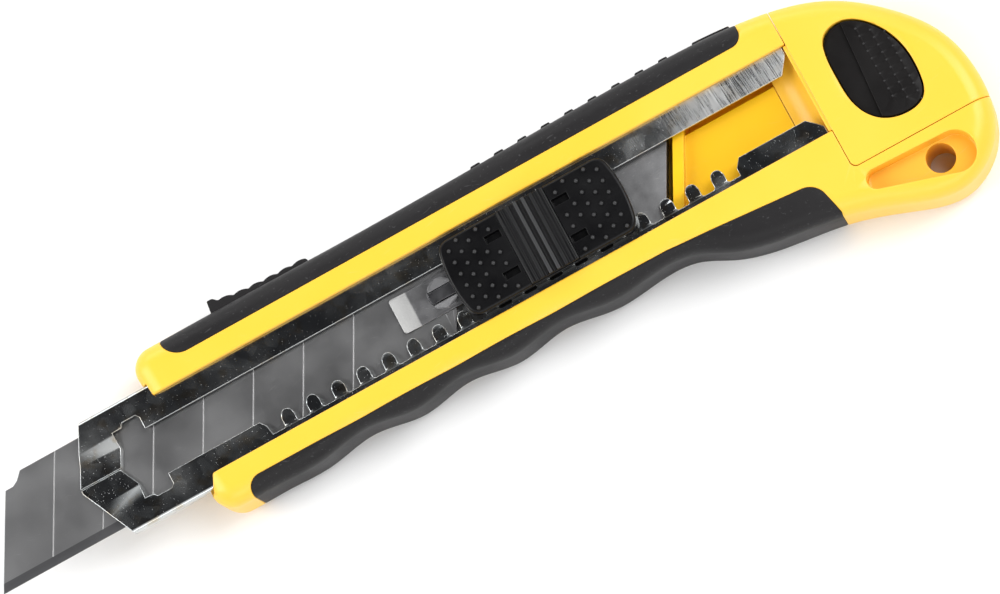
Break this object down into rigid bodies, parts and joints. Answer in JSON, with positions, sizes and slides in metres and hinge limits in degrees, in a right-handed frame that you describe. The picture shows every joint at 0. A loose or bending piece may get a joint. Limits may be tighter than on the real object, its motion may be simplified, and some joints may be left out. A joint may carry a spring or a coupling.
{
  "type": "utility knife",
  "caption": "Snap-off blade utility knife with ratchet slider, rubber grips, steel blade rail and a pull-out spare-blade magazine.",
  "frame": {"origin": "on the flat back face, on the blade rail's centre line, 60 mm behind the nose of the handle", "axes": "+X from the blade's tip to the butt, +Y from the cutting edge's side to the spine, +Z from the back out of the slider's face"},
  "size_m": [0.1917, 0.0475, 0.0162],
  "materials": {
    "yellow_abs": "satin moulded ABS",
    "black_rubber": "fine matt moulded rubber",
    "rail_steel": "galvanised sheet, scuffed",
    "blade_steel": "ground carbon steel",
    "slider_plastic": "moulded with small pips",
    "button_plastic": "moulded with small pips",
    "plate_steel": "stamped",
    "spring_steel": "bright spring steel",
    "pin_steel": "dark steel"
  },
  "bodies": {
    "handle": {"housing": "yellow_abs", "spine_grip": "black_rubber", "belly_grip": "black_rubber", "blade_rail": "rail_steel"},
    "slider": {"slider_shell": "slider_plastic", "thumb_grip": "slider_plastic", "slider_base": "plate_steel", "blade_clip": "spring_steel", "blade_pin": "pin_steel", "slider_rivets": "pin_steel", "lock_spring": "spring_steel", "snap_blade": "blade_steel"},
    "magazine": {"end_cap": "yellow_abs", "magazine_tray": "yellow_abs", "stack_keeper": "plate_steel", "lifter_spring": "spring_steel", "button_spring": "spring_steel", "spare_blade_1": "blade_steel", "spare_blade_2": "blade_steel", "spare_blade_3": "blade_steel", "spare_blade_4": "blade_steel", "spare_blade_5": "blade_steel"},
    "lifter": {"blade_lifter": "plate_steel"},
    "button": {"release_button": "button_plastic", "cap_latch": "slider_plastic"}
  },
  "joints": [
    {"name": "slider_slide", "type": "slide", "parent": "handle", "child": "slider", "axis": [1, 0, 0], "range_m": [-0.05, 0.035], "deforming": ["lock_spring"]},
    {"name": "magazine_slide", "type": "slide", "parent": "handle", "child": "magazine", "axis": [1, 0, 0], "range_m": [0, 0.11], "deforming": ["cap_latch"]},
    {"name": "release_press", "type": "slide", "parent": "magazine", "child": "button", "axis": [0, 0, -1], "range_m": [0, 0.0012], "stiffness_N_per_m": 500, "springref_m": -0.002, "deforming": ["button_spring"]},
    {"name": "lifter_rise", "type": "slide", "parent": "magazine", "child": "lifter", "axis": [0, 0, 1], "range_m": [-0.0012, 0], "stiffness_N_per_m": 60, "springref_m": 0.006, "deforming": ["lifter_spring"]}
  ]
}
